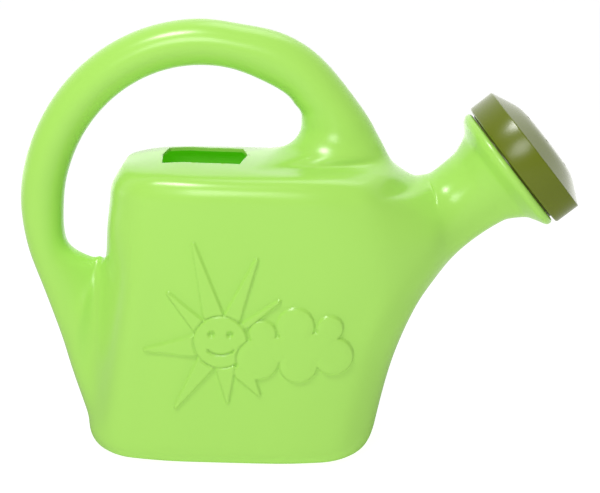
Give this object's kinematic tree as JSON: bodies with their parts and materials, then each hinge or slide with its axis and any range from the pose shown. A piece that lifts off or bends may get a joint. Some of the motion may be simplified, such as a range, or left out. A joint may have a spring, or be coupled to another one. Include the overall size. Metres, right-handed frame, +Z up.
{
  "type": "watering can",
  "caption": "Child's blow-moulded watering can with a looped hollow handle, a raised sun and cloud on its front, and a push-in sprinkler rose on a short flared spout.",
  "frame": {"origin": "on the surface the can stands on, midway along its whole length and on its parting plane", "axes": "+Z up, +X towards the spout, -Y towards the face with the sun and cloud"},
  "size_m": [0.2974, 0.097, 0.2313],
  "materials": {
    "lime_polyethylene": "satin blow-moulded polyethylene, lightly translucent",
    "olive_plastic": "glossy injection-moulded plastic"
  },
  "bodies": {
    "can": {"can_body": "lime_polyethylene"},
    "rose": {"rose": "olive_plastic"}
  },
  "joints": [
    {"name": "rose_pull", "type": "slide", "parent": "can", "child": "rose", "axis": [0.766, 0, 0.6428], "range_m": [0, 0.035]}
  ]
}
